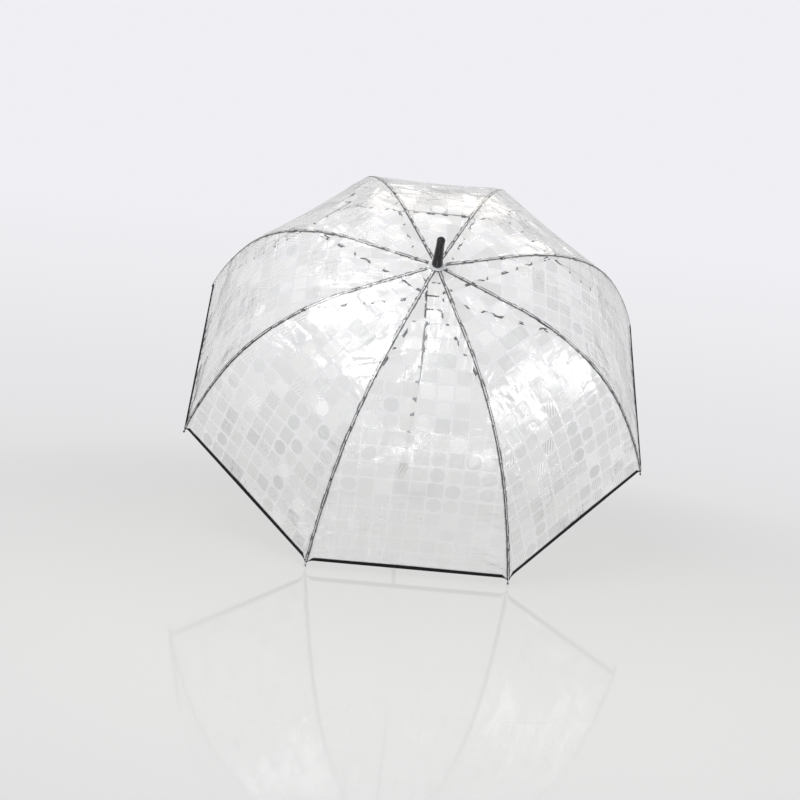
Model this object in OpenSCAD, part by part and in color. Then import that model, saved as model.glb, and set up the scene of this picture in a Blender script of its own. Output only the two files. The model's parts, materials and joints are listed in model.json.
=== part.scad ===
// Clear dome umbrella, open, standing upright.
// The shaft is on the Z axis, the ferrule points up and the hook bends towards +X.
// The origin is on the shaft axis, in the straight hand grip.

/* [Shaft] */
// Outside diameter of the steel tube
shaft_d = 8; // [7.8:0.1:8.6]
// Wall of the steel tube
shaft_wall = 0.8; // [0.7:0.1:0.9]
// Height of the rib pivots above the origin
crown_z = 635; // [630:1:660]

/* [Handle] */
// Diameter of the grip
grip_d = 17; // [16:0.5:20]
// Height of the handle's top above the origin
grip_top = 79; // [70:1:90]
// Depth of the hook's centre below the origin
hook_drop = 46; // [40:1:60]
// Radius of the hook's centreline
hook_r = 31; // [26:1:36]
// Straight end of the hook
hook_tail = 16; // [8:1:24]
// How far the shaft goes into the handle
socket_depth = 60; // [40:1:70]

/* [Ribs] */
// Number of ribs, and of canopy panels
rib_count = 8; // [8:1:8]
// Distance of the rib pivots from the shaft axis
pivot_r = 9; // [9:0.1:9.4]
// Width of the rib channel
rib_w = 3.8; // [3.6:0.1:3.8]
// Height of the rib channel
rib_h = 3.2; // [3:0.1:3.2]
// Sheet thickness of the rib channel
rib_wall = 0.6; // [0.5:0.1:0.6]
// Slope of the straight inner stretch below the horizontal, in degrees
inner_slope = 7.2; // [6.5:0.1:8]
// Length of the straight inner stretch
straight_len = 131; // [128:1:134]
// Radius of the shoulder bend
shoulder_r = 293; // [290:1:296]
// Slope at the end of the shoulder bend, in degrees
shoulder_slope = 56.6; // [56:0.1:57.2]
// Radius of the gentle curve in the skirt
skirt_r = 747; // [700:1:800]
// Length of the skirt curve down to the rib tip
skirt_len = 166.8; // [160:0.1:168]
// Rib length from the crown pivot to the stretcher's rivet
joint_at = 208.5; // [206:0.1:210]
// Rib length from the crown pivot to the first flexing point
flex_at = 215; // [214:0.1:217]
// Diameter of the ball on the rib tip
tip_d = 4; // [3.5:0.1:4.5]

/* [Stretchers] */
// Width of the stretcher channel
stretcher_w = 3.6; // [3.4:0.1:3.6]
// Height of the stretcher channel
stretcher_h = 2.8; // [2.6:0.1:2.8]
// Length of the fork that straddles the rib
fork_len = 20.5; // [20:0.5:24]

/* [Runner] */
// Diameter of the runner's slotted head, and of the crown
head_d = 23; // [22.8:0.1:23.4]
// Diameter of the runner's tube
runner_d = 14; // [13.6:0.1:15]
// Length of the runner below its pivots
runner_len = 46; // [44:1:50]

/* [Canopy] */
// Height of the film's inner face above the middle of the rib
film_gap = 3.3; // [3.2:0.1:3.6]
// Thickness of the film
film_t = 0.6; // [0.5:0.1:0.8]
// Bare length of rib between the hem and the tip
hem_back = 13.4; // [12:0.1:15]
// Width of the black edge binding
binding_w = 5; // [4:0.5:6]

/* [Ferrule] */
// Length of the ferrule
ferrule_len = 58; // [54:1:64]
// Diameter of the ferrule at its foot
ferrule_foot_d = 17; // [16:0.5:18]
// Diameter of the straight end of the ferrule
ferrule_end_d = 13; // [12:0.1:13.5]

/* [Hidden] */
$fn = 64;
ONE_PER_RIB = ["rib_inner", "rib_middle", "rib_outer", "stretcher", "canopy_panel", "edge_binding"];

RAD = 180 / PI;
rib_step = 360 / rib_count;
half_step = rib_step / 2;
shaft_r = shaft_d / 2;
bore_r = shaft_r - shaft_wall;
head_r = head_d / 2;

// Rib centreline in its own upright plane: x is the distance from the shaft axis, y is the height.
shoulder_start = [
    pivot_r + straight_len * cos(inner_slope),
    crown_z - straight_len * sin(inner_slope)
];
shoulder_centre = shoulder_start - shoulder_r * [sin(inner_slope), cos(inner_slope)];
skirt_start = shoulder_centre + shoulder_r * [sin(shoulder_slope), cos(shoulder_slope)];
skirt_centre = skirt_start - skirt_r * [sin(shoulder_slope), cos(shoulder_slope)];
shoulder_end = straight_len + shoulder_r * (shoulder_slope - inner_slope) / RAD;
rib_len = shoulder_end + skirt_len;

function slope_at(s) =
    s <= straight_len ? inner_slope :
    s <= shoulder_end ? inner_slope + (s - straight_len) / shoulder_r * RAD :
    shoulder_slope + (s - shoulder_end) / skirt_r * RAD;
function outward(a) = [sin(a), cos(a)];
function rib_line(s) =
    s <= straight_len ? [pivot_r + s * cos(inner_slope), crown_z - s * sin(inner_slope)] :
    s <= shoulder_end ? shoulder_centre + shoulder_r * outward(slope_at(s)) :
    skirt_centre + skirt_r * outward(slope_at(s));
// A point that stands off the rib's centreline, away from the inside of the dome
function rib_point(s, off) = rib_line(s) + off * outward(slope_at(s));

// Linkage: crown pivot to rivet and rivet to runner pivot are equally long, so the runner stays
// on the shaft's axis at every angle.
rivet = rib_line(joint_at);
runner_z = 2 * rivet[1] - crown_z;
stretcher_rise = atan2(rivet[1] - runner_z, rivet[0] - pivot_r);
stretcher_len = norm(rivet - [pivot_r, runner_z]);
closed_lean = 2.5;
runner_closed_z = crown_z - 2 * stretcher_len * cos(closed_lean);

// Small fits and plates
eye_r = 1.8;
eye_hole_r = 0.8;
tongue_t = 1.4;
tongue_len = 5.5;
slot_w = 2;
wire_r = 0.6;
wire_room = 0.1;
rivet_r = 0.9;
rivet_room = 0.1;
rivet_head_r = 1.4;
rivet_head_t = 0.6;
ear_t = 0.6;
ear_inside = rib_w / 2 + 0.2;
segment_gap = 0.1;
seam_gap = 0.2;
snug = 0.05;

// Catches: each nose stands out of a slot in the shaft
nose_out = 2.6;
nose_len = 13;
nose_t = 1.8;
leaf_t = 1;
leaf_len = 34;
catch_slot_w = 2.4;
top_catch_z = runner_z - runner_len - 0.3;
window_z = 13;
window_len = 15;
window_w = 3;
bottom_catch_z = runner_closed_z - runner_len + window_z + 0.8;

washer_z = crown_z + 4.4;
washer_t = 1.6;
ferrule_z = washer_z + washer_t + snug;
shaft_top = crown_z + 30;

// ---- helpers ----

// Turns a shape from rib 1's plane to rib k's plane
module at_rib(k) {
    rotate([0, 0, half_step + rib_step * (k - 1)])
        children();
}

// Open channel seen along the rib: x is outward, y is across
module channel_section(w, h) {
    difference() {
        translate([-h / 2, -w / 2])
            square([h, w]);
        translate([-h / 2 - 1, -w / 2 + rib_wall])
            square([h - rib_wall + 1, w - 2 * rib_wall]);
    }
}

// Sweeps the rib's channel along an arc of its plane, between two slopes
module channel_arc(centre, r, from_slope, to_slope) {
    translate([centre[0], 0, centre[1]])
        rotate([90, 0, 0])
            rotate([0, 0, 90 - to_slope])
                rotate_extrude(angle = to_slope - from_slope, $fn = 360)
                    translate([r, 0])
                        channel_section(rib_w, rib_h);
}

// Straight channel from a point of the rib's plane, down a slope
module channel_straight(from, slope, len, w, h) {
    translate([from[0], 0, from[1]])
        rotate([0, 90 + slope, 0])
            linear_extrude(len)
                mirror([1, 0])
                    channel_section(w, h);
}

// Round bar across the rib's plane
module cross_bar(at, r, from_y, to_y) {
    translate([at[0], to_y, at[1]])
        rotate([90, 0, 0])
            cylinder(r = r, h = to_y - from_y);
}

// Flat tongue with an eye, from a pivot along +X
module tongue(len, h) {
    rotate([90, 0, 0])
        linear_extrude(tongue_t, center = true)
            difference() {
                union() {
                    circle(r = eye_r);
                    translate([0, -h / 2])
                        square([len, h]);
                }
                circle(r = eye_hole_r);
            }
}

// Ring of slots from the pivot circle outward, between two heights
module pivot_slots(from_z, to_z) {
    for (k = [1:rib_count])
        at_rib(k)
            translate([pivot_r - eye_r - 0.7, -slot_w / 2, from_z])
                cube([head_r, slot_w, to_z - from_z]);
}

// Groove for a pivot wire, and the wire itself
module pivot_ring(z, r) {
    translate([0, 0, z])
        rotate_extrude()
            translate([pivot_r, 0])
                circle(r = r);
}

module tube(r, inner_r, from_z, to_z) {
    translate([0, 0, from_z])
        difference() {
            cylinder(r = r, h = to_z - from_z);
            translate([0, 0, -1])
                cylinder(r = inner_r, h = to_z - from_z + 2);
        }
}

// ---- shaft group ----

module shaft() {
    color("silver")
        difference() {
            tube(shaft_r, bore_r, grip_top - socket_depth, shaft_top);
            for (z = [top_catch_z - nose_len - 0.5, bottom_catch_z - 0.5])
                translate([0, -catch_slot_w / 2, z])
                    cube([shaft_r + 1, catch_slot_w, nose_len + 1]);
        }
}

module handle() {
    rim = 2.5;
    grip_r = grip_d / 2;
    color("#151517")
        difference() {
            union() {
                translate([0, 0, -hook_drop])
                    cylinder(r = grip_r, h = hook_drop + grip_top - rim);
                translate([0, 0, grip_top - rim])
                    rotate_extrude() {
                        square([grip_r - rim, rim]);
                        intersection() {
                            translate([grip_r - rim, 0])
                                circle(r = rim);
                            square([grip_r, rim]);
                        }
                    }
                translate([hook_r, 0, -hook_drop])
                    rotate([90, 0, 0])
                        rotate([0, 0, 180])
                            rotate_extrude(angle = 180)
                                translate([hook_r, 0])
                                    circle(r = grip_r);
                translate([2 * hook_r, 0, -hook_drop])
                    cylinder(r = grip_r, h = hook_tail);
                translate([2 * hook_r, 0, hook_tail - hook_drop])
                    sphere(r = grip_r);
            }
            translate([0, 0, grip_top - socket_depth - snug])
                cylinder(r = shaft_r + snug, h = socket_depth + 1);
        }
}

module ferrule() {
    foot_r = ferrule_foot_d / 2;
    end_r = ferrule_end_d / 2;
    foot_h = 5;
    end_h = 16;
    round_r = 4;
    top = ferrule_len;
    color("#151517")
        translate([0, 0, ferrule_z])
            difference() {
                rotate_extrude() {
                    polygon([
                        [0, 0], [foot_r, 0], [foot_r, foot_h], [foot_r - 0.6, foot_h + 0.8],
                        [end_r, top - end_h], [end_r, top - round_r], [0, top - round_r]
                    ]);
                    translate([0, top - round_r])
                        square([end_r - round_r, round_r]);
                    intersection() {
                        translate([end_r - round_r, top - round_r])
                            circle(r = round_r);
                        translate([0, top - round_r])
                            square([end_r, round_r]);
                    }
                }
                translate([0, 0, -1])
                    cylinder(r = shaft_r + snug, h = shaft_top - ferrule_z + 1 + snug);
            }
}

module canopy_washer() {
    color("#e8eaec", 0.5)
        tube(13, shaft_r + snug, washer_z, washer_z + washer_t);
}

module crown() {
    color("#1c1c1e")
        difference() {
            union() {
                tube(head_r, shaft_r + snug, crown_z - 4.5, crown_z + 2.6);
                tube(7.2, shaft_r + snug, crown_z - 4.5, washer_z - snug);
            }
            pivot_slots(crown_z - 6, crown_z + 6);
            pivot_ring(crown_z, wire_r + wire_room);
        }
}

module crown_wire() {
    color("silver")
        pivot_ring(crown_z, wire_r);
}

// ---- runner ----

module runner() {
    runner_bore_r = shaft_r + 0.2;
    foot_z = runner_z - runner_len;
    color("#1c1c1e")
        difference() {
            union() {
                tube(head_r, runner_bore_r, runner_z - 5, runner_z + 4.5);
                tube(runner_d / 2, runner_bore_r, foot_z, runner_z - 5);
                tube(10.5, runner_bore_r, foot_z, foot_z + 3);
            }
            pivot_slots(runner_z - eye_r - 0.7, runner_z + 6);
            pivot_ring(runner_z, wire_r + wire_room);
            translate([0, -window_w / 2, foot_z + window_z])
                cube([head_r + 1, window_w, window_len]);
        }
}

module runner_wire() {
    color("silver")
        pivot_ring(runner_z, wire_r);
}

// Sprung catch in the tube: a leaf with a nose that is square at z = 0 and tapers towards +Z
module catch_shape() {
    nose_tip = shaft_r + nose_out;
    leaf_x = bore_r - 1.9;
    color("silver")
        rotate([90, 0, 0])
            linear_extrude(nose_t, center = true)
                union() {
                    polygon([
                        [leaf_x, 0], [nose_tip, 0], [nose_tip, 3], [shaft_r - 0.4, nose_len], [leaf_x, nose_len]
                    ]);
                    translate([leaf_x, -8])
                        square([leaf_t, leaf_len]);
                }
}

module top_catch() {
    translate([0, 0, top_catch_z])
        mirror([0, 0, 1])
            catch_shape();
}

module bottom_catch() {
    translate([0, 0, bottom_catch_z])
        catch_shape();
}

// ---- ribs ----

module rib_inner(k) {
    bend_end = flex_at - segment_gap / 2;
    at_rib(k) {
        color("silver") {
            difference() {
                union() {
                    translate([pivot_r, 0, crown_z])
                        rotate([0, inner_slope, 0])
                            tongue(tongue_len + 4, rib_h);
                    channel_straight(
                        rib_line(tongue_len), inner_slope, straight_len - tongue_len, rib_w, rib_h
                    );
                    channel_arc(shoulder_centre, shoulder_r, inner_slope, slope_at(bend_end));
                }
                cross_bar(rivet, rivet_r + snug, -rib_w, rib_w);
            }
            rivet_pin();
        }
    }
}

// Rivet that joins the stretcher to the rib
module rivet_pin() {
    head_from = ear_inside + ear_t + snug;
    head_to = head_from + rivet_head_t;
    cross_bar(rivet, rivet_r, -head_to, head_to);
    cross_bar(rivet, rivet_head_r, head_from, head_to);
    cross_bar(rivet, rivet_head_r, -head_to, -head_from);
}

module rib_middle(k) {
    from_slope = slope_at(flex_at + segment_gap / 2);
    to_slope = slope_at(shoulder_end - segment_gap / 2);
    at_rib(k)
        color("silver")
            channel_arc(shoulder_centre, shoulder_r, from_slope, to_slope);
}

module rib_outer(k) {
    from_slope = slope_at(shoulder_end + segment_gap / 2);
    channel_end = rib_len - 8;
    peg_r = 1.1;
    peg_from = rib_point(rib_len - 24, -0.2);
    peg_to = rib_point(rib_len, -0.2);
    peg_slope = atan2(peg_from[1] - peg_to[1], peg_to[0] - peg_from[0]);
    at_rib(k)
        color("silver") {
            channel_arc(skirt_centre, skirt_r, from_slope, slope_at(channel_end));
            translate([peg_from[0], 0, peg_from[1]])
                rotate([0, 90 + peg_slope, 0])
                    cylinder(r = peg_r, h = norm(peg_to - peg_from));
            translate([peg_to[0], 0, peg_to[1]])
                sphere(r = tip_d / 2);
        }
}

// Stretcher, drawn with its rivet at the origin and its runner pivot towards -X
module stretcher(k) {
    bar_start = tongue_len - stretcher_len;
    bar_len = -fork_len - bar_start;
    at_rib(k)
        translate([rivet[0], 0, rivet[1]])
            rotate([0, -stretcher_rise, 0])
                color("silver") {
                    translate([-stretcher_len, 0, 0])
                        tongue(tongue_len + 4, stretcher_h - 0.4);
                    channel_straight([bar_start, 0], 0, bar_len, stretcher_w, stretcher_h);
                    stretcher_fork();
                }
}

// Fork that straddles the rib, and its bridge on the end of the bar
module stretcher_fork() {
    plate_h = 2.4;
    bridge_len = 5;
    ear_outside = ear_inside + ear_t;
    for (side = [-1, 1])
        translate([0, side * (ear_inside + ear_t / 2), 0])
            rotate([90, 0, 0])
                linear_extrude(ear_t, center = true)
                    difference() {
                        union() {
                            circle(r = eye_r);
                            translate([-fork_len - 1, -plate_h / 2])
                                square([fork_len + 1, plate_h]);
                        }
                        circle(r = rivet_r + rivet_room);
                    }
    translate([-fork_len - bridge_len, -ear_outside, -stretcher_h / 2])
        cube([bridge_len, 2 * ear_outside, stretcher_h]);
}

// ---- canopy ----

// Wall along the panel's middle, between two standoffs from the rib line and two rib lengths
module panel_wall(off_in, off_out, from_s, to_s, steps) {
    inner = [for (i = [0:steps]) rib_point(from_s + (to_s - from_s) * i / steps, off_in)];
    outer = [for (i = [steps:-1:0]) rib_point(from_s + (to_s - from_s) * i / steps, off_out)];
    rotate([90, 0, 0])
        linear_extrude(2 * rib_len, center = true)
            polygon([for (p = concat(inner, outer)) [p[0] * cos(half_step), p[1]]]);
}

// Keeps what lies between two neighbouring ribs, a seam gap away from each
module between_ribs() {
    near = 8;
    far = rib_len;
    intersection() {
        children();
        linear_extrude(crown_z + 50)
            polygon([
                [near, near * tan(half_step) - seam_gap],
                [far, far * tan(half_step) - seam_gap],
                [far, seam_gap - far * tan(half_step)],
                [near, seam_gap - near * tan(half_step)]
            ]);
    }
}

module canopy_panel(k) {
    hem = rib_len - hem_back - 0.8;
    fold = rib_len - hem_back - binding_w;
    rotate([0, 0, rib_step * k])
        color("#e6eaee", 0.4)
            between_ribs() {
                union() {
                    panel_wall(film_gap, film_gap + film_t, -1, straight_len, 1);
                    panel_wall(film_gap, film_gap + film_t, straight_len, shoulder_end, 12);
                    panel_wall(film_gap, film_gap + film_t, shoulder_end, fold, 4);
                    panel_wall(film_gap, film_gap + film_t, fold, hem, 1);
                }
            }
}

module edge_binding(k) {
    hem = rib_len - hem_back;
    fold = 0.5;
    rotate([0, 0, rib_step * k])
        color("#101012")
            between_ribs()
                difference() {
                    panel_wall(film_gap - fold, film_gap + film_t + fold, hem - binding_w, hem, 1);
                    panel_wall(film_gap - snug, film_gap + film_t + snug, hem - binding_w - 1, hem - 0.7, 1);
                }
}

// ---- the parts ----

shaft();
handle();
ferrule();
canopy_washer();
crown();
crown_wire();
runner();
runner_wire();
top_catch();
bottom_catch();
for (k = [1:rib_count]) {
    rib_inner(k);
    rib_middle(k);
    rib_outer(k);
    stretcher(k);
    canopy_panel(k);
    edge_binding(k);
}
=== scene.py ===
"""Looks of the clear dome umbrella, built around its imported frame.

Everything is in metres in the row frame: the shaft is on the Z axis and the ferrule points up.
"""

import json
import math
import random

import bpy
import numpy as np
from mathutils import Matrix, Vector


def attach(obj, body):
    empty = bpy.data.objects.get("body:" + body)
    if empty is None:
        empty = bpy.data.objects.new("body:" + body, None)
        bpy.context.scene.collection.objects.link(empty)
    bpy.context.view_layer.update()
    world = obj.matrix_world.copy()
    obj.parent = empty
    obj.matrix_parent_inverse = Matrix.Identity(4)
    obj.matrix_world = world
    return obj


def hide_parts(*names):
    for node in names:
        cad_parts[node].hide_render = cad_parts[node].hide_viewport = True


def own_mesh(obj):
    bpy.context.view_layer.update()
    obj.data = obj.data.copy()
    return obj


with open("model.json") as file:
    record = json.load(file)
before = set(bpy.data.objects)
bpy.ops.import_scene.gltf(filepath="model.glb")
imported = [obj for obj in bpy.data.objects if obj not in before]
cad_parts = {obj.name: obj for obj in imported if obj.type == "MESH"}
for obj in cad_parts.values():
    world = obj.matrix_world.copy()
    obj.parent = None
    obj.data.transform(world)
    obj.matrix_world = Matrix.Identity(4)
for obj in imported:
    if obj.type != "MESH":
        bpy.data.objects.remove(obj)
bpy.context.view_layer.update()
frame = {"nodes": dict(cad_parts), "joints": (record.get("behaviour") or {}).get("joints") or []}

# ---------------------------------------------------------------- sizes from the frame

JOINTS = {joint["name"]: joint for joint in frame["joints"]}
RIBS = range(1, 9)
STEP = math.radians(45)
HALF = STEP / 2

# The rib's line, as in the CAD model: straight, shoulder bend, skirt curve
INNER_SLOPE = math.radians(7.2)
STRAIGHT = 0.131
SHOULDER_R = 0.293
SHOULDER_SLOPE = math.radians(56.6)
SKIRT_R = 0.747
FLEX_AT = 0.215
SHOULDER_END = STRAIGHT + SHOULDER_R * (SHOULDER_SLOPE - INNER_SLOPE)
RIB_LEN = SHOULDER_END + 0.1668

crown = Vector(JOINTS["canopy_fold"]["pos_m"])
PIVOT_R, CROWN_Z = crown.xy.length, crown.z

# The film
FILM_OFF = 0.0019       # film above the middle of the rib
FILM_TOP = 0.0005       # rib length where the film starts, under the washer
HEM = RIB_LEN - 0.0134
CORNER_DROP = 0.0055    # how much further the hem's corners reach down their ribs
CORNER = 0.012          # width of the hem's curved corner
BINDING_H = 0.0062      # height of the black tape on the film
GRID = 0.0035           # size of the film mesh's cells


def slope_at(s):
    bend = INNER_SLOPE + np.clip(s - STRAIGHT, 0, SHOULDER_END - STRAIGHT) / SHOULDER_R
    return bend + np.clip(s - SHOULDER_END, 0, None) / SKIRT_R


def rib_line(s, off=0.0):
    """Distance from the shaft's axis and height of points along a rib, off metres outside its middle."""
    s = np.asarray(s, float)
    straight = np.clip(s, None, STRAIGHT)
    r = PIVOT_R + straight * math.cos(INNER_SLOPE)
    z = CROWN_Z - straight * math.sin(INNER_SLOPE)
    a, b = slope_at(np.clip(s, None, SHOULDER_END)), slope_at(s)
    r = r + SHOULDER_R * (np.sin(a) - math.sin(INNER_SLOPE)) + SKIRT_R * (np.sin(b) - np.sin(a))
    z = z - SHOULDER_R * (math.cos(INNER_SLOPE) - np.cos(a)) - SKIRT_R * (np.cos(a) - np.cos(b))
    return r + off * np.sin(b), z + off * np.cos(b)


# ---------------------------------------------------------------- node helpers

class Nodes:
    """A short way to write a material's nodes."""

    def __init__(self, name):
        self.material = bpy.data.materials.new(name)
        self.material.use_nodes = True
        self.tree = self.material.node_tree
        self.tree.nodes.clear()
        self.output = self.tree.nodes.new("ShaderNodeOutputMaterial")

    def add(self, kind, inputs=(), **settings):
        node = self.tree.nodes.new(kind)
        for key, value in settings.items():
            setattr(node, key, value)
        for key, value in dict(inputs).items():
            self.put(node.inputs[key], value)
        return node

    def put(self, socket, value):
        if isinstance(value, bpy.types.NodeSocket):
            self.tree.links.new(value, socket)
        else:
            socket.default_value = value

    def math(self, operation, *values, clamp=False):
        node = self.add("ShaderNodeMath", operation=operation, use_clamp=clamp)
        for socket, value in zip(node.inputs, values):
            self.put(socket, value)
        return node.outputs[0]

    def mix(self, factor, a, b):
        node = self.add("ShaderNodeMix", data_type="FLOAT")
        for socket, value in zip((node.inputs[0], node.inputs[2], node.inputs[3]), (factor, a, b)):
            self.put(socket, value)
        return node.outputs[0]

    def mix_color(self, factor, a, b):
        node = self.add("ShaderNodeMix", data_type="RGBA")
        for socket, value in zip((node.inputs[0], node.inputs[6], node.inputs[7]), (factor, a, b)):
            self.put(socket, value)
        return node.outputs[2]

    def remap(self, value, low, high, out_low=0.0, out_high=1.0):
        inputs = {0: value, 1: low, 2: high, 3: out_low, 4: out_high}
        return self.add("ShaderNodeMapRange", inputs, clamp=True).outputs[0]

    def noise(self, scale, detail=3.0, vector=None, rough=0.5, kind="3D"):
        inputs = {"Scale": scale, "Detail": detail, "Roughness": rough}
        if vector is not None:
            inputs["Vector"] = vector
        return self.add("ShaderNodeTexNoise", inputs, noise_dimensions=kind).outputs[0]

    def stretched(self, vector, scale):
        return self.add("ShaderNodeMapping", {"Vector": vector, "Scale": scale}).outputs[0]

    def coords(self, which="Object"):
        return self.add("ShaderNodeTexCoord").outputs[which]

    def bump(self, height, distance, strength=1.0, normal=None):
        inputs = {"Height": height, "Distance": distance, "Strength": strength}
        if normal is not None:
            inputs["Normal"] = normal
        return self.add("ShaderNodeBump", inputs).outputs[0]

    def finish(self, shader):
        self.put(self.output.inputs["Surface"], shader)
        return self.material


# ---------------------------------------------------------------- materials

TILE = 0.0265           # pitch of the printed mosaic
TILE_GAP = 0.0030       # clear line between two tiles
HATCH = 0.0060          # pitch of the strokes in a hatched tile
ROW_SEED, ROW_ODDS = 3.0, 0.86          # two neighbours in a row become one bar above these odds
COLUMN_SEED, COLUMN_ODDS = 7.0, 0.92    # the same in a column
TILE_SEED = 11.0


def random_of(n, x, y, seed):
    """A random value for each pair of whole numbers."""
    at = n.add("ShaderNodeCombineXYZ", {"X": x, "Y": y, "Z": seed}).outputs[0]
    return n.add("ShaderNodeTexWhiteNoise", {"Vector": at}, noise_dimensions="3D")


def rounded_box(n, x, y, half_x, half_y, corner):
    """Distance outside a rounded rectangle, negative inside."""
    dx = n.math("SUBTRACT", n.math("ABSOLUTE", x), n.math("SUBTRACT", half_x, corner))
    dy = n.math("SUBTRACT", n.math("ABSOLUTE", y), n.math("SUBTRACT", half_y, corner))
    ox, oy = n.math("MAXIMUM", dx, 0.0), n.math("MAXIMUM", dy, 0.0)
    far = n.math("SQRT", n.math("ADD", n.math("MULTIPLY", ox, ox), n.math("MULTIPLY", oy, oy)))
    inside = n.math("MINIMUM", n.math("MAXIMUM", dx, dy), 0.0)
    return n.math("SUBTRACT", n.math("ADD", far, inside), corner)


def in_a_row_or_column(n, cell_x, cell_y):
    """Which cells share one long bar: two neighbours in a row, or two in a column."""
    def is_wide(pair, row):
        return n.math("GREATER_THAN", random_of(n, pair, row, ROW_SEED).outputs["Value"], ROW_ODDS)

    pair_x = n.math("FLOOR", n.math("DIVIDE", cell_x, 2.0))
    pair_y = n.math("FLOOR", n.math("DIVIDE", cell_y, 2.0))
    partner_low = n.math("MULTIPLY", pair_y, 2.0)
    in_row = is_wide(pair_x, cell_y)
    tall = n.math("GREATER_THAN", random_of(n, cell_x, pair_y, COLUMN_SEED).outputs["Value"], COLUMN_ODDS)
    partner_high = n.math("ADD", partner_low, 1.0)
    crossed = n.math("MAXIMUM", is_wide(pair_x, partner_low), is_wide(pair_x, partner_high))
    in_column = n.math("MULTIPLY", tall, n.math("SUBTRACT", 1.0, crossed))
    row_centre = n.math("ADD", n.math("MULTIPLY", pair_x, 2.0), 1.0)
    centre_x = n.mix(in_row, n.math("ADD", cell_x, 0.5), row_centre)
    centre_y = n.mix(in_column, n.math("ADD", cell_y, 0.5), n.math("ADD", partner_low, 1.0))
    return in_row, in_column, centre_x, centre_y


def mosaic(n, across, along):
    """Printed tiles: how much of a tile is at each point, and three random values of that tile."""
    u = n.math("ADD", n.math("DIVIDE", across, TILE), 0.5)
    v = n.math("DIVIDE", along, TILE)
    cells = n.math("FLOOR", u), n.math("FLOOR", v)
    in_row, in_column, centre_x, centre_y = in_a_row_or_column(n, *cells)
    half = 0.5 - 0.5 * TILE_GAP / TILE
    half_x = n.math("ADD", half, n.math("MULTIPLY", in_row, 0.5))
    half_y = n.math("ADD", half, n.math("MULTIPLY", in_column, 0.5))
    pick = random_of(n, centre_x, centre_y, TILE_SEED)
    kind = pick.outputs["Value"]
    single = n.math("SUBTRACT", 1.0, n.math("MAXIMUM", in_row, in_column))
    is_round = n.math("MULTIPLY", n.math("GREATER_THAN", kind, 0.66), single)
    is_soft = n.math("GREATER_THAN", kind, 0.40)
    corner = n.mix(is_round, n.mix(is_soft, 0.035, 0.14), half)
    from_x, from_y = n.math("SUBTRACT", u, centre_x), n.math("SUBTRACT", v, centre_y)
    outside = rounded_box(n, from_x, from_y, half_x, half_y, corner)
    shade = n.add("ShaderNodeSeparateColor", {0: pick.outputs["Color"]})
    return n.remap(outside, -0.012, 0.012, 1.0, 0.0), shade


def front_lit_panel(n):
    """1 on the panel that faces -Y, towards the front lamp, whose print is painted lighter towards the hem; 0
    on the others.
    """
    flat = n.add("ShaderNodeVectorMath", {0: n.coords()}, operation="MULTIPLY")
    flat.inputs[1].default_value = (1, 1, 0)
    around = n.add("ShaderNodeVectorMath", {0: flat.outputs[0]}, operation="NORMALIZE")
    ahead = n.add("ShaderNodeVectorMath", {0: around.outputs[0]}, operation="DOT_PRODUCT")
    ahead.inputs[1].default_value = (0, -1, 0)
    return n.math("GREATER_THAN", ahead.outputs["Value"], math.cos(HALF))


def seam_lines(n, across, from_rib, lane):
    """Clear seam beside a rib, its broken white weld line, and dark dashes painted on its raised edge as
    painted dark reflections.
    """
    seam = n.remap(from_rib, 0.0030, 0.0042)
    broken = n.noise(1.0, 1.0, n.stretched(lane, (1, 62, 1)))
    line = n.math("SUBTRACT", 1.0, n.remap(from_rib, 0.0008, 0.0011))
    weld = n.math("MULTIPLY", line, n.remap(broken, 0.43, 0.47, 0.0, 0.92))
    # the painted reflection dashes on the raised edge differ on the rib's two sides
    place = n.add("ShaderNodeSeparateXYZ", {0: lane}).outputs[1]
    place = n.math("ADD", place, n.math("MULTIPLY", n.math("SIGN", across), 4.3))
    place = n.add("ShaderNodeCombineXYZ", {"Y": place}).outputs[0]
    dashes = n.noise(1.0, 2.0, n.stretched(place, (1, 30, 1)))
    starts, ends = n.remap(from_rib, 0.0020, 0.0023), n.remap(from_rib, 0.0034, 0.0037, 1.0, 0.0)
    painted_reflection_dashes = n.math("MULTIPLY", n.math("MULTIPLY", starts, ends), n.remap(dashes, 0.47, 0.53, 0.0, 0.9))
    return seam, line, weld, painted_reflection_dashes


def crinkles(n, uv):
    """Fine creases that cross the panels, and long soft ripples: normals for the print and for the gloss."""
    creases = n.noise(1.0, 4.0, n.stretched(uv, (40, 150, 1)), 0.6)
    folds = n.noise(1.0, 3.0, n.stretched(uv, (110, 24, 1)), 0.55)
    where = n.remap(n.noise(9.0, 2.0, uv), 0.44, 0.62, 0.10, 1.0)
    ripple = n.noise(1.0, 2.0, n.stretched(uv, (26, 9, 1)), 0.5)
    relief = n.math("MULTIPLY", n.math("ADD", n.math("MULTIPLY", creases, 0.6), folds), where)
    surface = n.math("ADD", relief, ripple)
    return n.bump(surface, 0.0015, 0.5), n.bump(surface, 0.006, 0.9)


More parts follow.
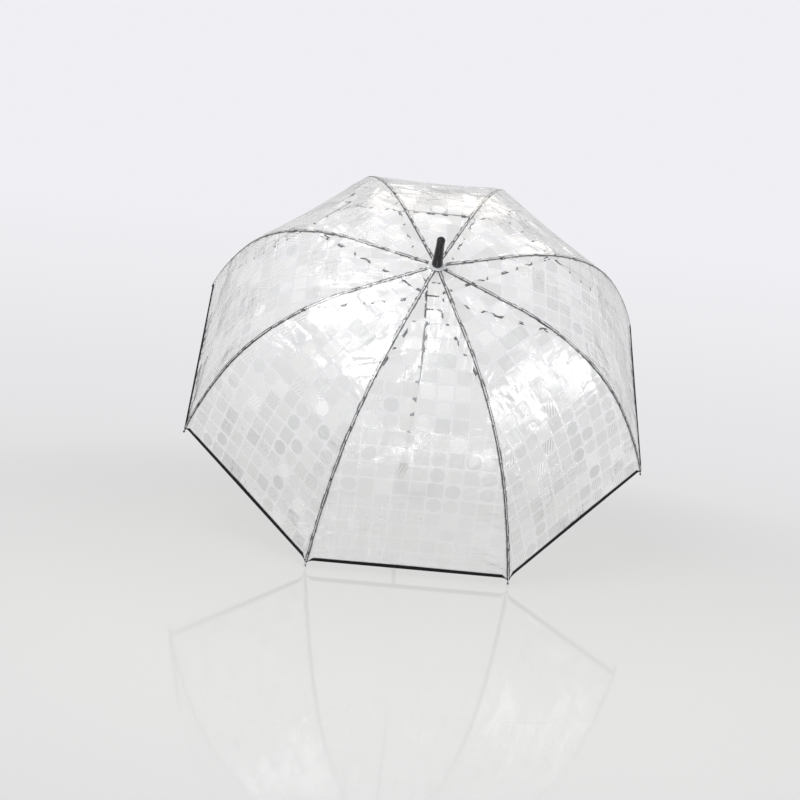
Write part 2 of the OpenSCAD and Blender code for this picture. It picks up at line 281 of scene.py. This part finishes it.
def film_material():
    """Clear film printed with a mosaic of frosted squares, circles and bars."""
    n = Nodes("film")
    uv = n.add("ShaderNodeUVMap", uv_map="print").outputs[0]
    edge = n.add("ShaderNodeUVMap", uv_map="edge").outputs[0]
    split = n.add("ShaderNodeSeparateXYZ", {0: uv})
    across, along = split.outputs[0], split.outputs[1]
    from_rib = n.add("ShaderNodeSeparateXYZ", {0: edge}).outputs[0]
    tile, shade = mosaic(n, across, along)
    seam, line, weld, painted_reflection_dashes = seam_lines(n, across, from_rib, edge)
    soft, normal = crinkles(n, uv)
    front = front_lit_panel(n)

    # some tiles are hatched with slanting strokes and a few are solid white
    slanted = n.math("ADD", across, n.math("MULTIPLY", along, 0.45))
    strokes = n.math("PINGPONG", n.math("DIVIDE", slanted, HATCH), 0.5)
    hatched = n.math("GREATER_THAN", shade.outputs[2], 0.90)
    hatch = n.mix(hatched, 1.0, n.remap(strokes, 0.14, 0.26, 0.55, 1.0))
    bright = n.math("GREATER_THAN", shade.outputs[0], 0.93)

    # the print, and the film between it, are made milky towards the hem; on the front panel, which faces the
    # front lamp, far more so and near-white, as painted light from the front
    front_milky_painted_light, milky_rest = n.remap(along, 0.27, 0.37, 0.06, 0.95), n.remap(along, 0.30, 0.52, 0.06, 0.60)
    milky_and_painted_light = n.mix(front, milky_rest, front_milky_painted_light)
    strength = n.math("MULTIPLY", n.remap(shade.outputs[1], 0.0, 1.0, 0.93, 0.985), hatch)
    grain = n.remap(n.noise(900.0, 2.0, uv), 0.2, 0.8, 0.95, 1.0)
    frosted = n.math("MULTIPLY", n.math("MAXIMUM", n.math("MULTIPLY", tile, strength), milky_and_painted_light), seam)
    opacity = n.math("MAXIMUM", n.math("MAXIMUM", n.math("MULTIPLY", frosted, grain), weld), painted_reflection_dashes)

    tone = n.mix_color(shade.outputs[1], (0.92, 0.922, 0.925, 1), (0.68, 0.685, 0.69, 1))
    tone = n.mix_color(n.remap(shade.outputs[2], 0.0, 0.9, 0.0, 0.5), tone, (0.82, 0.81, 0.78, 1))
    grey = n.mix_color(n.math("MAXIMUM", bright, line), tone, (0.98, 0.98, 0.97, 1))
    # painted light: on the front panel the print's grey fades to near-white towards the hem
    front_painted_light_fade, contrast_rest = n.remap(along, 0.28, 0.44, 0.95, 0.22), n.remap(along, 0.3, 0.5, 1.0, 0.9)
    contrast = n.mix(front, contrast_rest, front_painted_light_fade)
    grey = n.mix_color(n.math("MULTIPLY", tile, contrast), (0.985, 0.985, 0.98, 1), grey)
    # painted reflection: near-black dashes beside the rib
    grey = n.mix_color(painted_reflection_dashes, grey, (0.02, 0.02, 0.022, 1))

    clear = n.add("ShaderNodeBsdfTransparent", {"Color": (0.975, 0.98, 0.985, 1)}).outputs[0]
    through = n.add("ShaderNodeBsdfTranslucent", {"Color": grey, "Normal": soft}).outputs[0]
    facing = n.add("ShaderNodeBsdfDiffuse", {"Color": grey, "Normal": soft}).outputs[0]
    frost = n.add("ShaderNodeMixShader", {0: 0.5, 1: through, 2: facing}).outputs[0]
    body = n.add("ShaderNodeMixShader", {0: opacity, 1: clear, 2: frost}).outputs[0]
    rough = n.mix(tile, 0.10, 0.17)
    gloss = n.add("ShaderNodeBsdfGlossy", {"Color": (1, 1, 1, 1), "Roughness": rough, "Normal": normal})
    fresnel = n.add("ShaderNodeFresnel", {"IOR": 1.5, "Normal": normal}).outputs[0]
    shine = n.math("MULTIPLY", fresnel, 2.4, clamp=True)
    return n.finish(n.add("ShaderNodeMixShader", {0: shine, 1: body, 2: gloss.outputs[0]}).outputs[0])


def binding_material():
    """Black woven tape."""
    n = Nodes("binding")
    uv = n.add("ShaderNodeUVMap", uv_map="print").outputs[0]
    warp = n.add("ShaderNodeTexWave", {"Vector": uv, "Scale": 420.0, "Distortion": 0.4}, wave_type="BANDS")
    weft = n.add(
        "ShaderNodeTexWave", {"Vector": uv, "Scale": 420.0, "Distortion": 0.4},
        wave_type="BANDS", bands_direction="Y",
    )
    weave = n.math("MULTIPLY", warp.outputs[0], weft.outputs[0])
    wear = n.noise(60.0, 4.0, uv)
    color = n.mix_color(n.remap(wear, 0.35, 0.75), (0.004, 0.004, 0.0045, 1), (0.010, 0.010, 0.011, 1))
    color = n.mix_color(n.math("MULTIPLY", weave, 0.4), color, (0.018, 0.018, 0.019, 1))
    normal = n.bump(weave, 0.0002, 0.6)
    shader = n.add("ShaderNodeBsdfPrincipled", {
        "Base Color": color, "Roughness": n.remap(wear, 0.2, 0.8, 0.55, 0.75), "Normal": normal,
        "Specular IOR Level": 0.15,
    })
    return n.finish(shader.outputs[0])


def rib_material():
    """Dark bright-finished steel with painted reflections: the channel's back is painted lighter along its
    middle than at its turned edges, and in dark and light patches along its length.
    """
    n = Nodes("rib_steel")
    at = n.add("ShaderNodeSeparateXYZ", {0: n.coords()})
    angle = n.math("ARCTAN2", at.outputs[1], at.outputs[0])
    turn = n.math("WRAP", n.math("SUBTRACT", angle, HALF), -HALF, HALF)
    x_squared, y_squared = n.math("POWER", at.outputs[0], 2.0), n.math("POWER", at.outputs[1], 2.0)
    span = n.math("SQRT", n.math("ADD", x_squared, y_squared))
    across = n.math("ABSOLUTE", n.math("MULTIPLY", n.math("SINE", turn), span))
    # painted reflection: the channel's two edges are painted near-black
    edge_painted_dark = n.remap(across, 0.0007, 0.0011)
    # painted reflection: dark and light patches along the rib
    painted_reflection_patches = n.noise(1.0, 2.0, n.stretched(n.coords(), (55, 55, 55)))
    light = n.mix_color(n.remap(painted_reflection_patches, 0.42, 0.56), (0.05, 0.05, 0.055, 1), (0.62, 0.63, 0.65, 1))
    color = n.mix_color(edge_painted_dark, light, (0.022, 0.023, 0.026, 1))
    fine = n.noise(1400.0, 3.0, n.coords())
    roughness = n.remap(fine, 0.25, 0.75, 0.17, 0.30)
    shader = n.add("ShaderNodeBsdfPrincipled", {
        "Base Color": color, "Metallic": 1.0, "Roughness": roughness, "Normal": n.bump(fine, 0.00004, 0.5),
    })
    return n.finish(shader.outputs[0])


def steel_material(name, tone, rough, streak):
    """Bright steel with drawing lines along streak, faint stains and tiny pits."""
    n = Nodes(name)
    at = n.coords()
    lines = n.noise(1.0, 5.0, n.stretched(at, streak), 0.65)
    stains = n.noise(38.0, 4.0, at)
    pits = n.noise(1900.0, 2.0, at)
    dark = tuple(0.72 * c for c in tone) + (1,)
    color = n.mix_color(n.remap(stains, 0.35, 0.75), tone + (1,), dark)
    drawn = n.remap(lines, 0.25, 0.75, rough - 0.06, rough + 0.10)
    roughness = n.math("ADD", drawn, n.remap(stains, 0.3, 0.8, 0, 0.05))
    normal = n.bump(n.math("ADD", lines, n.math("MULTIPLY", pits, 0.3)), 0.00004, 0.5)
    shader = n.add("ShaderNodeBsdfPrincipled", {
        "Base Color": color, "Metallic": 1.0, "Roughness": roughness, "Normal": normal,
    })
    return n.finish(shader.outputs[0])


def plastic_material(name, tone, rough, grain):
    """Moulded plastic with a fine grain, handling marks and slightly polished high spots."""
    n = Nodes(name)
    at = n.coords()
    fine = n.noise(grain, 3.0, at)
    marks = n.noise(45.0, 5.0, at, 0.6)
    scratches = n.noise(1.0, 4.0, n.stretched(at, (900, 900, 40)), 0.7)
    lighter = tuple(min(1.0, 1.6 * c + 0.003) for c in tone) + (1,)
    color = n.mix_color(n.remap(marks, 0.4, 0.8, 0.0, 0.6), tone + (1,), lighter)
    handled = n.remap(marks, 0.3, 0.75, rough - 0.05, rough + 0.12)
    roughness = n.math("ADD", handled, n.remap(scratches, 0.62, 0.8, 0, 0.12))
    normal = n.bump(n.math("ADD", fine, n.math("MULTIPLY", scratches, 0.5)), 0.00005, 0.5)
    shader = n.add("ShaderNodeBsdfPrincipled", {
        "Base Color": color, "Roughness": roughness, "Normal": normal, "Specular IOR Level": 0.28,
    })
    return n.finish(shader.outputs[0])


def washer_material():
    """Clear moulded plastic: see-through from the front and cloudy at a glancing view."""
    n = Nodes("clear_plastic")
    cloud = n.noise(120.0, 4.0, n.coords())
    clear = n.add("ShaderNodeBsdfTransparent", {"Color": (0.93, 0.95, 0.96, 1)}).outputs[0]
    solid = n.add("ShaderNodeBsdfPrincipled", {
        "Base Color": n.mix_color(cloud, (0.80, 0.82, 0.84, 1), (0.92, 0.93, 0.94, 1)),
        "Roughness": n.remap(cloud, 0.3, 0.7, 0.08, 0.2), "Normal": n.bump(cloud, 0.0002, 0.3),
    }).outputs[0]
    facing = n.add("ShaderNodeLayerWeight", {"Blend": 0.35}).outputs["Facing"]
    share = n.remap(facing, 0.0, 0.8, 0.30, 0.85)
    return n.finish(n.add("ShaderNodeMixShader", {0: share, 1: clear, 2: solid}).outputs[0])


def floor_material(reach):
    """Pale glossy sheet that shines by its own emission, painted lighter on the near side than the far side
    as painted light in place of the lamps' light; seen from above only, it fades out towards its edge.
    """
    n = Nodes("floor")
    at = n.coords()
    span = n.add("ShaderNodeVectorMath", {0: at}, operation="LENGTH").outputs["Value"]
    inside = n.remap(span, 0.50 * reach, 0.98 * reach, 1.0, 0.0)
    nearer = n.remap(n.add("ShaderNodeSeparateXYZ", {0: at}).outputs[1], -0.7, 0.7, 0.0, 1.0)
    soft = n.noise(2.0, 2.0, at)
    # painted light: the floor's own glow, lighter on the near side
    color = n.mix_color(nearer, FLOOR_NEAR, FLOOR_FAR)
    painted_light_glow = n.add("ShaderNodeEmission", {"Color": color, "Strength": 1.0}).outputs[0]
    matt = n.add("ShaderNodeBsdfDiffuse", {"Color": (0.80, 0.80, 0.80, 1)}).outputs[0]
    sheet = n.add("ShaderNodeMixShader", {0: 0.12, 1: painted_light_glow, 2: matt}).outputs[0]
    rough = n.remap(soft, 0.3, 0.7, 0.05, 0.08)
    mirror = n.add("ShaderNodeBsdfGlossy", {"Color": (0.95, 0.95, 0.95, 1), "Roughness": rough}).outputs[0]
    solid = n.add("ShaderNodeMixShader", {0: 0.16, 1: sheet, 2: mirror}).outputs[0]
    nothing = n.add("ShaderNodeBsdfTransparent").outputs[0]
    under = n.add("ShaderNodeNewGeometry").outputs["Backfacing"]
    shown = n.math("MULTIPLY", inside, n.math("SUBTRACT", 1.0, under))
    return n.finish(n.add("ShaderNodeMixShader", {0: shown, 1: nothing, 2: solid}).outputs[0])


# ---------------------------------------------------------------- film

def hem_at(across):
    """Rib length of the hem at a distance from the panel's edge: its corners curve down to their ribs."""
    return HEM + CORNER_DROP * (1 - np.clip(across / CORNER, 0, 1)) ** 2


def make_creases(seed):
    """Tension creases of one panel: each has a start, a direction, a length, a width and a height."""
    rng = random.Random(seed)
    found = []
    for _ in range(46):
        s = rng.uniform(0.16, 0.53)
        side = rng.choice((-1, 1))
        edge = float(rib_line(s)[0]) * math.sin(HALF)
        lean = rng.uniform(-0.5, 0.9)
        length = rng.uniform(0.02, 0.085)
        found.append((side * edge, s, -side * math.cos(lean), math.sin(lean), length,
                      rng.uniform(0.0018, 0.0045), rng.uniform(0.0003, 0.0011) * rng.choice((-1, 1, 1))))
    for _ in range(34):
        s = rng.uniform(0.12, 0.33)
        half = float(rib_line(s)[0]) * math.sin(HALF)
        turn = rng.uniform(0, math.pi)
        found.append((rng.uniform(-0.75, 0.75) * half, s, math.cos(turn), math.sin(turn),
                      rng.uniform(0.015, 0.05), rng.uniform(0.003, 0.008), rng.uniform(-0.0010, 0.0011)))
    return found


def crease_height(y, s, creases):
    """How far the film stands out at points (y, s) of a panel."""
    total = np.zeros_like(y)
    for y0, s0, dy, ds, length, width, height in creases:
        along = (y - y0) * dy + (s - s0) * ds
        across = (y - y0) * -ds + (s - s0) * dy
        fade = np.clip(1 - np.abs(along / length - 0.35) / 0.65, 0, 1)
        total += height * np.exp(-((across / width) ** 2)) * fade * fade * (3 - 2 * fade)
    return total


def panel_point(s, t, side, creases):
    """Points of a panel whose middle faces +X: t is 0 at the rib and 1 in the middle."""
    r, z = rib_line(s, FILM_OFF)
    half = r * math.sin(HALF)
    y = side * half * (1 - t)
    x = r * math.cos(HALF)
    tilt = np.arctan2(np.sin(slope_at(s)), np.cos(slope_at(s)) * math.cos(HALF))
    near_rib = np.clip(half * t / 0.012, 0, 1)
    near_hem = np.clip((HEM - s) / 0.015, 0, 1)
    out = crease_height(y, s, creases) * near_rib * near_hem
    out = out - 0.0022 * np.clip((s - 0.10) / 0.2, 0, 1) * np.sin(np.pi / 2 * t) ** 2 * near_hem
    return np.stack([x + out * np.sin(tilt), y, z + out * np.cos(tilt)], -1)


def grid_mesh(name, points, normals, uvs, edges):
    """A mesh of a grid of points, with its own normals and two UV maps."""
    rows, columns = points.shape[:2]
    mesh = bpy.data.meshes.new(name)
    index = np.arange(rows * columns).reshape(rows, columns)
    facing = np.cross(points[1, 0] - points[0, 0], points[0, 1] - points[0, 0]) @ normals[0, 0]
    if facing > 0:
        index = index[:, ::-1]
    quads = np.stack([index[:-1, :-1], index[:-1, 1:], index[1:, 1:], index[1:, :-1]], -1).reshape(-1, 4)
    mesh.from_pydata(points.reshape(-1, 3).tolist(), [], quads.tolist())
    for layer, values in (("print", uvs), ("edge", edges)):
        uv = mesh.uv_layers.new(name=layer)
        corners = np.zeros(len(mesh.loops), np.int32)
        mesh.loops.foreach_get("vertex_index", corners)
        uv.data.foreach_set("uv", values.reshape(-1, 2)[corners].astype(np.float32).ravel())
    mesh.polygons.foreach_set("use_smooth", np.ones(len(mesh.polygons), bool))
    mesh.normals_split_custom_set_from_vertices(normals.reshape(-1, 3).tolist())
    mesh.update()
    piece = bpy.data.objects.new(name, mesh)
    bpy.context.scene.collection.objects.link(piece)
    return piece


def turned(points, angle):
    c, s = math.cos(angle), math.sin(angle)
    return points @ np.array([[c, s, 0], [-s, c, 0], [0, 0, 1]])


def normals_of(surface, s, t, step=0.0004):
    """Normals of a panel's surface by small differences, pointing away from the dome's inside."""
    along = surface(s + step, t) - surface(s - step, t)
    width = 0.02
    across = surface(s, t + width) - surface(s, t - width)
    n = np.cross(along, across)
    n /= np.linalg.norm(n, axis=-1, keepdims=True)
    outward = n[..., 0:1] * np.sin(slope_at(s))[..., None] + n[..., 2:3] * np.cos(slope_at(s))[..., None]
    return n * np.sign(outward)


# Rib segments: name of the body, range of rib length, and how the gathered film leans and shrinks
SEGMENTS = {
    "inner": (FILM_TOP, FLEX_AT, 0.0, 0.10),
    "middle": (FLEX_AT, SHOULDER_END, 0.4, 0.10),
    "outer": (SHOULDER_END, HEM, 0.95, 0.07),
}


def gather(piece):
    """Gives the piece its own copy of its mesh."""
    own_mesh(piece)


def film_piece(panel, rib, side, segment, creases, material):
    """Half a panel's film along one segment of a rib.

    side is -1 beside the panel's first rib and 1 beside its second.
    """
    from_s, to_s = SEGMENTS[segment][:2]
    rows = max(2, round((to_s - from_s) / GRID)) + 1
    columns = max(2, round(float(rib_line(to_s)[0]) * math.sin(HALF) / GRID)) + 1
    share = np.linspace(0, 1, rows)[:, None] * np.ones((1, columns))
    t = np.ones((rows, 1)) * np.linspace(0, 1, columns)[None, :]
    if segment == "outer":
        across = float(rib_line(HEM)[0]) * math.sin(HALF) * t
        s = from_s + (hem_at(across) - 0.0006 - from_s) * share
    else:
        s = from_s + (to_s - from_s) * share

    def surface(s, t):
        return panel_point(s, t, side, creases)

    points, normals = surface(s, t), normals_of(surface, s, t)
    from_rib = rib_line(s, FILM_OFF)[0] * math.sin(HALF) * t
    uvs = np.stack([points[..., 1], s], -1)
    edges = np.stack([from_rib, s + rib], -1)
    angle = STEP * panel
    name = f"film_{panel}_{'a' if side < 0 else 'b'}_{segment}"
    piece = grid_mesh(name, turned(points, angle), turned(normals, angle), uvs, edges)
    piece.data.materials.append(material)
    return piece


def binding_piece(panel, side, creases, material):
    """Half a panel's edge binding: tape folded over the hem, which narrows towards the rib at its corner."""
    count = 60
    half = float(rib_line(HEM)[0]) * math.sin(HALF)
    t = np.concatenate([np.linspace(0.004, 0.16, 26), np.linspace(0.17, 1.0, count)])
    hem = hem_at(half * t)
    full = np.clip((half * t - 0.004) / 0.006, 0, 1)
    height = 0.0014 + (BINDING_H - 0.0014) * full
    thick = 0.0005 + 0.00055 * full
    # section of the folded tape, from its inner edge round the hem to its outer edge
    section = [(1.0, -0.35), (1.0, -0.9), (0.5, -1.1), (0.12, -1.0), (0.0, -0.5), (-0.03, 0.0),
               (0.0, 0.5), (0.12, 1.0), (0.5, 1.1), (1.0, 0.9), (1.0, 0.35)]
    rows, uvs = [], []
    for up, out in section:
        s = hem - up * height
        base = panel_point(s, t, side, creases)
        tilt = np.arctan2(np.sin(slope_at(s)), np.cos(slope_at(s)) * math.cos(HALF))
        normal = np.stack([np.sin(tilt), 0 * t, np.cos(tilt)], -1)
        rows.append(base + normal * (out * thick)[:, None])
        uvs.append(np.stack([half * t, up * BINDING_H + 0.001 * out + 0 * t], -1))
    points, uvs = np.array(rows), np.array(uvs)
    along = np.gradient(points, axis=1)
    round_it = np.gradient(points, axis=0)
    normals = np.cross(round_it, along)
    normals /= np.linalg.norm(normals, axis=-1, keepdims=True) + 1e-12
    centre = points.mean(0, keepdims=True)
    normals *= np.sign((normals * (points - centre)).sum(-1, keepdims=True) + 1e-9)
    name = f"binding_{panel}_{'a' if side < 0 else 'b'}"
    angle = STEP * panel
    piece = grid_mesh(name, turned(points, angle), turned(normals, angle), uvs, uvs)
    piece.data.materials.append(material)
    return piece


def build_canopy():
    film, tape = film_material(), binding_material()
    for panel in RIBS:
        creases = make_creases(100 + panel)
        for side, rib in ((-1, panel), (1, panel % 8 + 1)):
            for segment in SEGMENTS:
                piece = film_piece(panel, rib, side, segment, creases, film)
                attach(piece, f"rib_{segment}_{rib}")
                if side < 0:
                    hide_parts(f"canopy_panel_{panel}")
                gather(piece)
            tape_piece = binding_piece(panel, side, creases, tape)
            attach(tape_piece, f"rib_outer_{rib}")
            if side < 0:
                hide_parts(f"edge_binding_{panel}")
            gather(tape_piece)


# ---------------------------------------------------------------- hard parts

def dress(node_name, material):
    node = frame["nodes"][node_name]
    node.data.materials.clear()
    node.data.materials.append(material)


def build_hard_parts():
    rib = rib_material()
    wire = steel_material("wire_steel", (0.30, 0.31, 0.33), 0.30, (500, 500, 500))
    shaft = steel_material("shaft_steel", (0.40, 0.41, 0.43), 0.22, (700, 700, 12))
    black = plastic_material("handle_plastic", (0.005, 0.005, 0.0055), 0.24, 1400.0)
    matt = plastic_material("runner_plastic", (0.009, 0.009, 0.010), 0.36, 900.0)
    for k in RIBS:
        for part in ("rib_inner", "rib_middle", "rib_outer", "stretcher"):
            dress(f"{part}_{k}", rib)
    for name in ("crown_wire", "runner_wire", "top_catch", "bottom_catch"):
        dress(name, wire)
    dress("shaft", shaft)
    for name in ("handle", "ferrule"):
        dress(name, black)
    for name in ("crown", "runner"):
        dress(name, matt)
    dress("canopy_washer", washer_material())


# ---------------------------------------------------------------- stage

# The umbrella rests on the tips of ribs 6 and 7 and on the bottom of its hook
TIP_R, TIP_Z = (float(x) for x in rib_line(RIB_LEN))
TIP_BALL = 0.002
HOOK_LOW = Vector((0.031, 0, -0.077))
GRIP_R = 0.0085


def resting_plane():
    """Unit normal of the floor, and its distance from the origin along that normal."""
    out, rise = TIP_R * math.cos(HALF), TIP_Z - HOOK_LOW.z
    tilt = math.atan2(rise, out) + math.asin((GRIP_R - TIP_BALL) / math.hypot(out, rise))
    normal = Vector((0, math.sin(tilt), math.cos(tilt)))
    return normal, normal.dot(HOOK_LOW) - GRIP_R


FLOOR_NORMAL, FLOOR_AT = resting_plane()
# painted light: colours of the floor's glow on its near and far sides
FLOOR_NEAR = (0.80, 0.795, 0.785, 1)
FLOOR_FAR = (0.655, 0.655, 0.65, 1)
BACKDROP_HIGH = (0.87, 0.865, 0.90, 1)
BACKDROP_LOW = (0.74, 0.74, 0.745, 1)
ROOM = (0.70, 0.70, 0.71, 1)


def build_floor():
    reach = 1.15
    count = 96
    mesh = bpy.data.meshes.new("floor")
    turns = np.linspace(0, 2 * math.pi, count, endpoint=False)
    ring = [(reach * math.cos(a), reach * math.sin(a), 0) for a in turns]
    mesh.from_pydata(ring, [], [list(range(count))])
    floor = bpy.data.objects.new("floor", mesh)
    bpy.context.scene.collection.objects.link(floor)
    away = Vector((0, 1, 0)).cross(FLOOR_NORMAL).cross(FLOOR_NORMAL).normalized()
    away = away if away.z < 0 else -away
    side = away.cross(FLOOR_NORMAL)
    under_dome = Vector((0, 0, TIP_Z))
    under_dome += FLOOR_NORMAL * (FLOOR_AT - FLOOR_NORMAL.dot(under_dome))
    middle = under_dome - away * 0.2
    floor.matrix_world = Matrix((side, away, FLOOR_NORMAL)).transposed().to_4x4()
    floor.location = middle
    mesh.materials.append(floor_material(reach))


def build_camera():
    camera = bpy.data.objects.new("camera", bpy.data.cameras.new("camera"))
    bpy.context.scene.collection.objects.link(camera)
    camera.data.sensor_width = 36.0
    camera.data.lens = 51.72
    camera.data.clip_start, camera.data.clip_end = 0.05, 60.0
    camera.location = (-0.1043, -1.2136, 1.9857)
    camera.rotation_euler = tuple(math.radians(a) for a in (34.9245, -4.8667, 3.2513))
    bpy.context.scene.camera = camera


def area_light(name, direction, distance, size, power, tint=(1, 1, 1)):
    """A soft box that faces the dome from a direction."""
    light = bpy.data.objects.new(name, bpy.data.lights.new(name, "AREA"))
    bpy.context.scene.collection.objects.link(light)
    towards = Vector(direction).normalized()
    light.location = Vector((0, 0, TIP_Z + 0.15)) + towards * distance
    light.rotation_mode = "QUATERNION"
    light.rotation_quaternion = towards.to_track_quat("Z", "Y")
    light.data.shape = "RECTANGLE"
    light.data.size, light.data.size_y = size
    light.data.energy = power
    light.data.color = tint
    light.visible_camera = False


def build_world():
    """Pale studio: the camera sees a soft gradient, and everything else is lit by an even room."""
    world = bpy.data.worlds.new("studio")
    bpy.context.scene.world = world
    world.use_nodes = True
    nodes, links = world.node_tree.nodes, world.node_tree.links
    nodes.clear()
    out = nodes.new("ShaderNodeOutputWorld")
    backdrop, room, choose = (nodes.new(k) for k in (
        "ShaderNodeBackground", "ShaderNodeBackground", "ShaderNodeMixShader"))
    path, coords = nodes.new("ShaderNodeLightPath"), nodes.new("ShaderNodeTexCoord")
    rise, share, shade = (nodes.new(k) for k in (
        "ShaderNodeVectorMath", "ShaderNodeMapRange", "ShaderNodeMix"))
    rise.operation = "DOT_PRODUCT"
    rise.inputs[1].default_value = FLOOR_NORMAL
    share.inputs[1].default_value, share.inputs[2].default_value = -0.22, 0.02
    shade.data_type = "RGBA"
    shade.inputs[6].default_value, shade.inputs[7].default_value = BACKDROP_LOW, BACKDROP_HIGH
    links.new(coords.outputs["Generated"], rise.inputs[0])
    links.new(rise.outputs["Value"], share.inputs[0])
    links.new(share.outputs[0], shade.inputs[0])
    links.new(shade.outputs[2], backdrop.inputs[0])
    room.inputs[0].default_value = ROOM
    links.new(path.outputs["Is Camera Ray"], choose.inputs[0])
    links.new(room.outputs[0], choose.inputs[1])
    links.new(backdrop.outputs[0], choose.inputs[2])
    links.new(choose.outputs[0], out.inputs["Surface"])


def build_lights():
    area_light("top_left_box", (-0.42, 0.20, 0.88), 1.7, (1.05, 0.9), 18)
    area_light("right_box", (0.9, -0.1, 0.45), 1.9, (0.5, 1.2), 9)
    area_light("back_box", (0.1, 1.0, 0.25), 2.2, (1.8, 0.8), 7, (1.0, 0.93, 0.84))
    area_light("front_fill", (-0.1, -1.0, 0.35), 2.4, (1.6, 0.7), 55)


bpy.context.scene.view_settings.view_transform = "Standard"
build_camera()
build_world()
build_lights()
build_floor()
build_hard_parts()
build_canopy()
